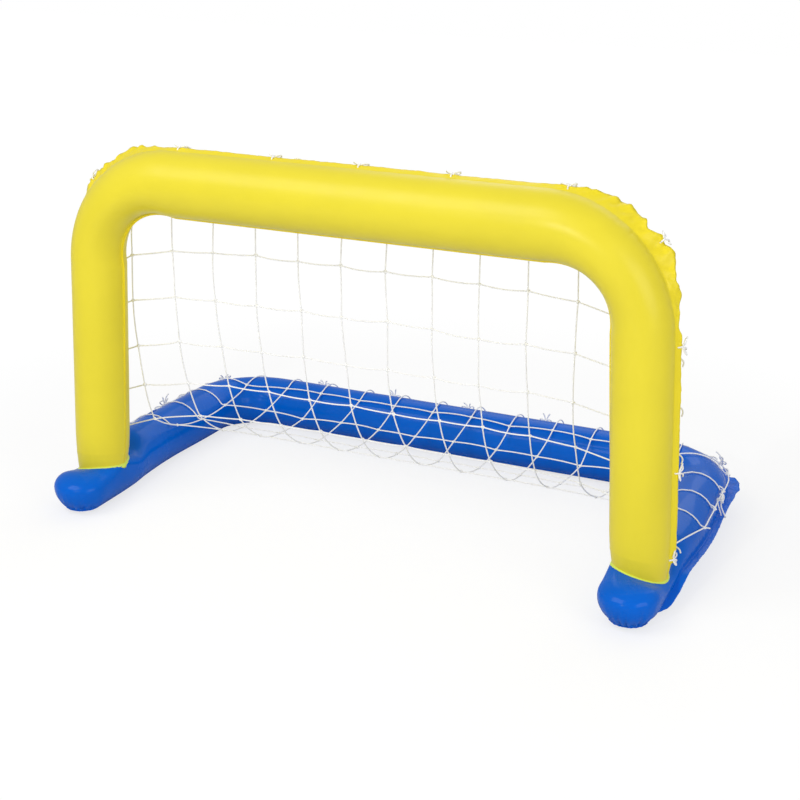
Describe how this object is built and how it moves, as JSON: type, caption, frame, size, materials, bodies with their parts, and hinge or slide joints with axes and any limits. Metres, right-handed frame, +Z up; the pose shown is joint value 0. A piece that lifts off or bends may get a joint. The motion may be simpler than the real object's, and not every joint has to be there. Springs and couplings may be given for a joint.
{
  "type": "water polo goal",
  "caption": "Inflatable floating goal: a yellow tube of posts and crossbar on a blue U-shaped tube base, with a white knotted net tied to the weld flanges, that catches a ball.",
  "frame": {"origin": "on the floor, under the middle of the outline, which is near the front third of the open base", "axes": "+X along the crossbar, +Y from the mouth to the back of the goal, +Z up"},
  "size_m": [1.3382, 0.7632, 0.7749],
  "materials": {
    "frame_vinyl": "satin soft vinyl sheet",
    "base_vinyl": "glossy soft vinyl sheet",
    "net_cord": "twisted white cord",
    "tie_cord": "twisted white cord",
    "valve_vinyl": "clear soft vinyl"
  },
  "bodies": {
    "goal": {"frame_front_panel": "frame_vinyl", "frame_back_panel": "frame_vinyl", "base_top_panel": "base_vinyl", "base_bottom_panel": "base_vinyl", "net": "net_cord", "frame_tie_1": "tie_cord", "frame_tie_2": "tie_cord", "frame_tie_3": "tie_cord", "frame_tie_4": "tie_cord", "frame_tie_5": "tie_cord", "frame_tie_6": "tie_cord", "frame_tie_7": "tie_cord", "frame_tie_8": "tie_cord", "frame_tie_9": "tie_cord", "frame_tie_10": "tie_cord", "frame_tie_11": "tie_cord", "frame_tie_12": "tie_cord", "frame_tie_13": "tie_cord", "base_tie_1": "tie_cord", "base_tie_2": "tie_cord", "base_tie_3": "tie_cord", "base_tie_4": "tie_cord", "base_tie_5": "tie_cord", "base_tie_6": "tie_cord", "base_tie_7": "tie_cord", "base_tie_8": "tie_cord", "base_tie_9": "tie_cord", "frame_valve_cup": "frame_vinyl", "base_valve_cup": "base_vinyl"},
    "frame_stem": {"frame_valve_stem": "valve_vinyl"},
    "frame_plug": {"frame_valve_plug": "valve_vinyl"},
    "frame_flap": {"frame_valve_flap": "valve_vinyl"},
    "base_stem": {"base_valve_stem": "valve_vinyl"},
    "base_plug": {"base_valve_plug": "valve_vinyl"},
    "base_flap": {"base_valve_flap": "valve_vinyl"}
  },
  "joints": [
    {"name": "frame_stem_slide", "type": "slide", "parent": "goal", "child": "frame_stem", "axis": [0, 1, 0], "range_m": [0, 0.0112]},
    {"name": "frame_plug_slide", "type": "slide", "parent": "frame_stem", "child": "frame_plug", "axis": [0, 1, 0], "range_m": [0, 0.01]},
    {"name": "frame_flap_hinge", "type": "hinge", "parent": "frame_stem", "child": "frame_flap", "pos_m": [-0.57755, -0.21059, 0.27451], "axis": [-0.9989, 0, 0.0471], "range_deg": [0, 60], "stiffness_Nm_per_rad": 0.0001},
    {"name": "base_stem_slide", "type": "slide", "parent": "goal", "child": "base_stem", "axis": [-0.5878, 0, 0.809], "range_m": [0, 0.0112]},
    {"name": "base_plug_slide", "type": "slide", "parent": "base_stem", "child": "base_plug", "axis": [-0.5878, 0, 0.809], "range_m": [0, 0.01]},
    {"name": "base_flap_hinge", "type": "hinge", "parent": "base_stem", "child": "base_flap", "pos_m": [-0.62083, 0.01134, 0.0825], "axis": [0.809, 0.009, 0.5878], "range_deg": [0, 60], "stiffness_Nm_per_rad": 0.0001}
  ]
}
